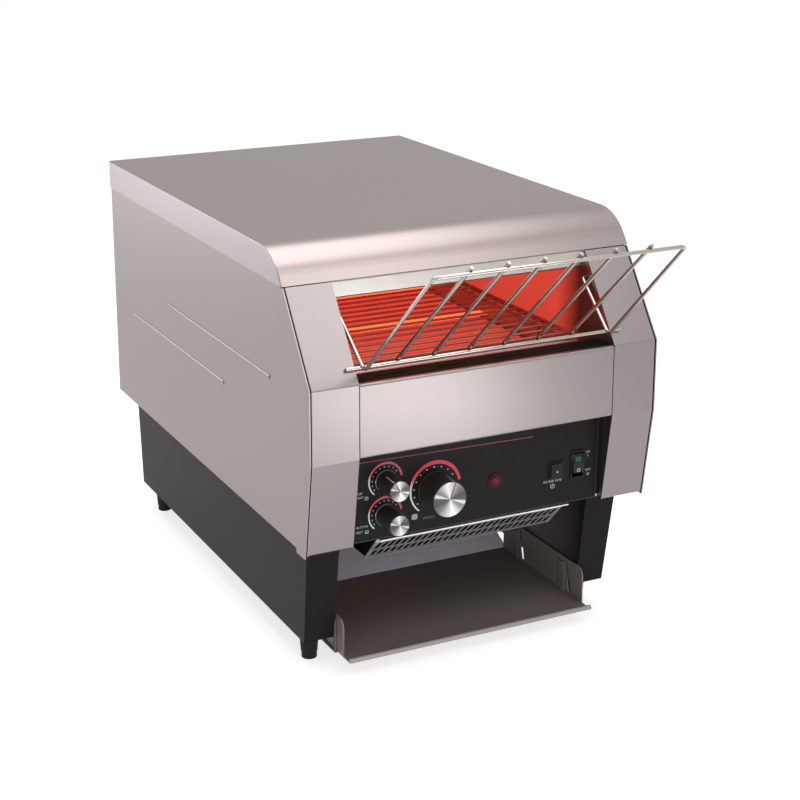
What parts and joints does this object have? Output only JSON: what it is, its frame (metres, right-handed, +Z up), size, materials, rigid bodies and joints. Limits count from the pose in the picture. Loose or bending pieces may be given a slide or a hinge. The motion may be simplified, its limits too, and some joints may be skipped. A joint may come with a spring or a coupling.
{
  "type": "conveyor toaster",
  "caption": "Countertop conveyor toaster: stainless housing with a curved hood, wire feed rack, black control panel with dials, and a slide-out tray between tapered pedestals.",
  "frame": {"origin": "on the counter, under the middle of the whole object's bounding box", "axes": "+Z up, +Y from the feed and control side to the back, +X to the right seen from the front"},
  "size_m": [0.369, 0.6905, 0.4275],
  "materials": {
    "stainless": "fine vertical brushing, satin",
    "bright_sheet": "bright mill finish",
    "black_paint": "satin black powder coat",
    "tray_paint": "satin dark grey coat",
    "panel_black": "smooth black with printed scales",
    "chrome_wire": "bright chrome plate",
    "belt_wire": "heat-toned stainless wire",
    "shaft_steel": "ground bar",
    "gear_steel": "cut steel",
    "motor_iron": "grey enamelled casting",
    "heater_sheath": "sheathed tube, glows red in use",
    "ceramic": "unglazed ceramic",
    "bearing_bronze": "sintered bronze",
    "black_plastic": "moulded black",
    "knob_face": "spun aluminium face",
    "lamp_red": "clear red lens",
    "rocker_black": "gloss black with a green window",
    "terminal_white": "moulded off-white",
    "rubber_black": "moulded rubber"
  },
  "bodies": {
    "toaster": {"top_cover": "stainless", "left_side_panel": "stainless", "right_side_panel": "stainless", "left_cheek": "stainless", "right_cheek": "stainless", "front_panel": "stainless", "loading_ledge": "black_paint", "feed_lintel": "bright_sheet", "back_panel": "stainless", "left_base": "black_paint", "right_base": "black_paint", "rear_base_panel": "black_paint", "rubber_feet": "rubber_black", "left_side_frame": "bright_sheet", "right_side_frame": "bright_sheet", "element_holders": "ceramic", "top_heating_tubes": "heater_sheath", "bottom_heating_tubes": "heater_sheath", "top_reflector": "bright_sheet", "bottom_reflector": "bright_sheet", "rear_deflector": "bright_sheet", "toast_chute": "bright_sheet", "belt_wires": "belt_wire", "left_belt_chain": "belt_wire", "right_belt_chain": "belt_wire", "belt_guides": "shaft_steel", "shaft_bearings": "bearing_bronze", "drive_motor": "motor_iron", "component_shelf": "bright_sheet", "left_tray_rail": "tray_paint", "right_tray_rail": "tray_paint", "control_panel": "panel_black", "control_bodies": "black_plastic", "indicator_lamp": "lamp_red", "switch_housings": "black_plastic", "control_housing": "black_paint", "mesh_guard": "black_paint", "fan_frame": "black_plastic", "terminal_block": "terminal_white", "cord_gland": "black_plastic"},
    "speed_dial": {"speed_knob": "black_plastic", "speed_knob_cap": "knob_face"},
    "top_heat_dial": {"top_heat_knob": "black_plastic", "top_heat_knob_cap": "knob_face"},
    "bottom_heat_dial": {"bottom_heat_knob": "black_plastic", "bottom_heat_knob_cap": "knob_face"},
    "save_button": {"power_save_button": "black_plastic"},
    "power_rocker": {"power_switch_rocker": "rocker_black"},
    "front_roller": {"front_shaft": "shaft_steel", "front_drum": "shaft_steel"},
    "rear_roller": {"rear_shaft": "shaft_steel", "rear_drum": "shaft_steel", "driven_gear": "gear_steel"},
    "pinion": {"motor_pinion": "gear_steel"},
    "fan": {"fan_rotor": "black_plastic"},
    "rack": {"feed_rack": "chrome_wire"},
    "tray": {"discharge_tray": "tray_paint"}
  },
  "joints": [
    {"name": "speed_turn", "type": "hinge", "parent": "toaster", "child": "speed_dial", "pos_m": [-0.0475, -0.20556, 0.17699], "axis": [0, 0.9998, 0.0175], "range_deg": [-165, 135]},
    {"name": "top_heat_turn", "type": "hinge", "parent": "toaster", "child": "top_heat_dial", "pos_m": [-0.0991, -0.20586, 0.19399], "axis": [0, 0.9998, 0.0175], "range_deg": [-120, 180]},
    {"name": "bottom_heat_turn", "type": "hinge", "parent": "toaster", "child": "bottom_heat_dial", "pos_m": [-0.0991, -0.20527, 0.1603], "axis": [0, 0.9998, 0.0175], "range_deg": [-195, 105]},
    {"name": "save_press", "type": "slide", "parent": "toaster", "child": "save_button", "axis": [0, 0.9998, 0.0175], "range_m": [0, 0.0024], "stiffness_N_per_m": 300},
    {"name": "power_tip", "type": "hinge", "parent": "toaster", "child": "power_rocker", "pos_m": [0.1092, -0.19928, 0.1753], "axis": [1, 0, 0], "range_deg": [0, 20]},
    {"name": "rear_roller_turn", "type": "hinge", "parent": "toaster", "child": "rear_roller", "pos_m": [0, 0.1871, 0.27], "axis": [-1, 0, 0], "continuous": true},
    {"name": "front_roller_turn", "type": "hinge", "parent": "toaster", "child": "front_roller", "pos_m": [0, -0.16215, 0.27], "axis": [-1, 0, 0], "continuous": true},
    {"name": "pinion_turn", "type": "hinge", "parent": "toaster", "child": "pinion", "pos_m": [0.14, 0.17068, 0.2249], "axis": [-1, 0, 0], "continuous": true},
    {"name": "fan_turn", "type": "hinge", "parent": "toaster", "child": "fan", "pos_m": [0.04, -0.08685, 0.16415], "axis": [0, 1, 0], "continuous": true},
    {"name": "rack_tip", "type": "hinge", "parent": "toaster", "child": "rack", "pos_m": [0, -0.17085, 0.3524], "axis": [-1, 0, 0], "range_deg": [0, 70]},
    {"name": "tray_slide", "type": "slide", "parent": "toaster", "child": "tray", "axis": [0, -1, 0], "range_m": [0, 0.1]}
  ],
  "couplings": [
    {"joint": "front_roller_turn", "follows": "rear_roller_turn", "ratio": 1},
    {"joint": "pinion_turn", "follows": "rear_roller_turn", "ratio": -2.2}
  ]
}
